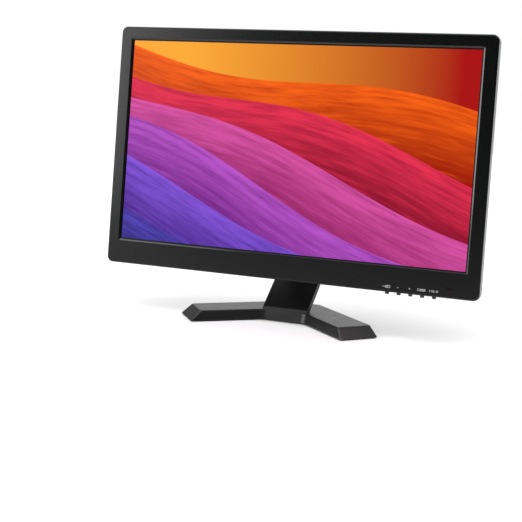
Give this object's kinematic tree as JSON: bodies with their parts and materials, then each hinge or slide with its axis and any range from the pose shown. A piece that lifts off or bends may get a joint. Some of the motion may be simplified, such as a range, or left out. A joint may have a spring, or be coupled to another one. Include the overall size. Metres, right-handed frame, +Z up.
{
  "type": "portable flat-screen television",
  "caption": "Flat-screen television: a widescreen panel in a slim matt case that tilts on a leaning neck over a V-shaped desk stand, with push buttons under the lower border.",
  "frame": {"origin": "on the desk under the middle of the stand", "axes": "+Z up; the screen faces -Y; +X is to the right of someone facing the screen"},
  "size_m": [0.4434, 0.1156, 0.324],
  "materials": {
    "bezel_plastic": "fine satin texture",
    "back_plastic": "spark-eroded matt texture",
    "stand_plastic": "satin",
    "button_plastic": "semi-gloss",
    "picture": "anti-glare coated",
    "window_plastic": "polished, passes infra-red",
    "frame_plastic": "moulded",
    "diffuser": "matt film",
    "acrylic": "polished",
    "steel": "zinc-plated sheet",
    "plated_steel": "nickel plated",
    "screw_steel": "black oxide",
    "aluminium": "extruded",
    "circuit_board": "solder mask",
    "black_moulding": "moulded",
    "blue_moulding": "moulded",
    "cable_jacket": "soft vinyl",
    "ribbon": "flat flexible film",
    "rubber": "matt"
  },
  "bodies": {
    "stand": {"base_cover": "stand_plastic", "base_plate": "steel", "base_screw_1": "screw_steel", "base_screw_2": "screw_steel", "rubber_foot_1": "rubber", "rubber_foot_2": "rubber", "rubber_foot_3": "rubber", "rubber_foot_4": "rubber", "neck_bracket": "steel", "neck_front_cover": "stand_plastic", "neck_rear_cover": "stand_plastic", "hinge_shaft": "plated_steel", "hinge_washer_left": "plated_steel", "hinge_washer_right": "plated_steel", "hinge_nut": "plated_steel"},
    "head": {"front_bezel": "bezel_plastic", "rear_cover": "back_plastic", "lcd_panel": "picture", "ir_window": "window_plastic", "panel_frame": "frame_plastic", "diffuser_sheet": "diffuser", "led_strip": "diffuser", "light_guide": "acrylic", "panel_tray": "steel", "chassis_plate": "steel", "hinge_leaf": "steel", "tuner_can": "plated_steel", "hdmi_socket": "plated_steel", "usb_socket": "plated_steel", "aerial_socket": "plated_steel", "cover_screw_1": "screw_steel", "cover_screw_2": "screw_steel", "cover_screw_3": "screw_steel", "cover_screw_4": "screw_steel", "hinge_screw_1": "screw_steel", "hinge_screw_2": "screw_steel", "hinge_screw_3": "screw_steel", "hinge_screw_4": "screw_steel", "heat_sink": "aluminium", "main_board": "circuit_board", "driver_board": "circuit_board", "key_board": "circuit_board", "dc_inlet": "black_moulding", "av_jack": "black_moulding", "earphone_jack": "black_moulding", "ir_receiver": "black_moulding", "speaker_left": "black_moulding", "speaker_right": "black_moulding", "vga_socket": "blue_moulding", "key_cable": "cable_jacket", "backlight_cable": "cable_jacket", "speaker_cable_left": "cable_jacket", "speaker_cable_right": "cable_jacket", "signal_cable": "ribbon"},
    "source_key": {"button_source": "button_plastic"},
    "down_key": {"button_down": "button_plastic"},
    "up_key": {"button_up": "button_plastic"},
    "menu_key": {"button_menu": "button_plastic"},
    "power_key": {"button_power": "button_plastic"}
  },
  "joints": [
    {"name": "tilt", "type": "hinge", "parent": "stand", "child": "head", "pos_m": [0, 0.04039, 0.08632], "axis": [-1, 0, 0], "range_deg": [-10.5, 14.5]},
    {"name": "press_source", "type": "slide", "parent": "head", "child": "source_key", "axis": [0, 0.0958, 0.9954], "range_m": [0, 0.0008], "stiffness_N_per_m": 2000, "springref_m": -0.0002},
    {"name": "press_down", "type": "slide", "parent": "head", "child": "down_key", "axis": [0, 0.0958, 0.9954], "range_m": [0, 0.0008], "stiffness_N_per_m": 2000, "springref_m": -0.0002},
    {"name": "press_up", "type": "slide", "parent": "head", "child": "up_key", "axis": [0, 0.0958, 0.9954], "range_m": [0, 0.0008], "stiffness_N_per_m": 2000, "springref_m": -0.0002},
    {"name": "press_menu", "type": "slide", "parent": "head", "child": "menu_key", "axis": [0, 0.0958, 0.9954], "range_m": [0, 0.0008], "stiffness_N_per_m": 2000, "springref_m": -0.0002},
    {"name": "press_power", "type": "slide", "parent": "head", "child": "power_key", "axis": [0, 0.0958, 0.9954], "range_m": [0, 0.0008], "stiffness_N_per_m": 2000, "springref_m": -0.0002}
  ]
}
